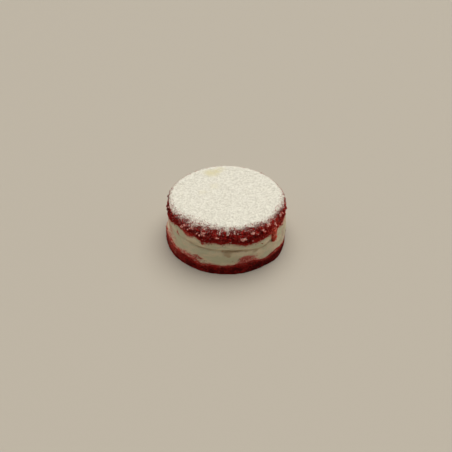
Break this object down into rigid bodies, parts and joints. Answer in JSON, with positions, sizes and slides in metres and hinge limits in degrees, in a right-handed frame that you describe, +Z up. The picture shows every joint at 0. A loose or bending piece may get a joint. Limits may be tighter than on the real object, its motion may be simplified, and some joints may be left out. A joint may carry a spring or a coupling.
{
  "type": "red velvet cake",
  "caption": "Small round red velvet cake: dark red sponge base, thick band of pale cream, red sponge crust coated in crumbs, and a white dusting of icing sugar on top.",
  "frame": {"origin": "centre of the flat underside of the lower sponge", "axes": "+Z up through the layers; -Y towards the viewer, the side with the tongue of crumbs on its right; +X to the viewer's right"},
  "size_m": [0.1042, 0.1052, 0.0386],
  "materials": {
    "sponge": "moist, dense dark red sponge with a fine open grain",
    "crumbs": "moist red cake crumbs with small soft glints",
    "cream": "smooth ivory cream, satin, spread with a knife",
    "sugar": "fine matte white powder"
  },
  "bodies": {
    "root": {"sponge_base": "sponge", "cream_filling": "cream", "sponge_crust": "crumbs", "sugar_dusting": "sugar"}
  },
  "joints": []
}
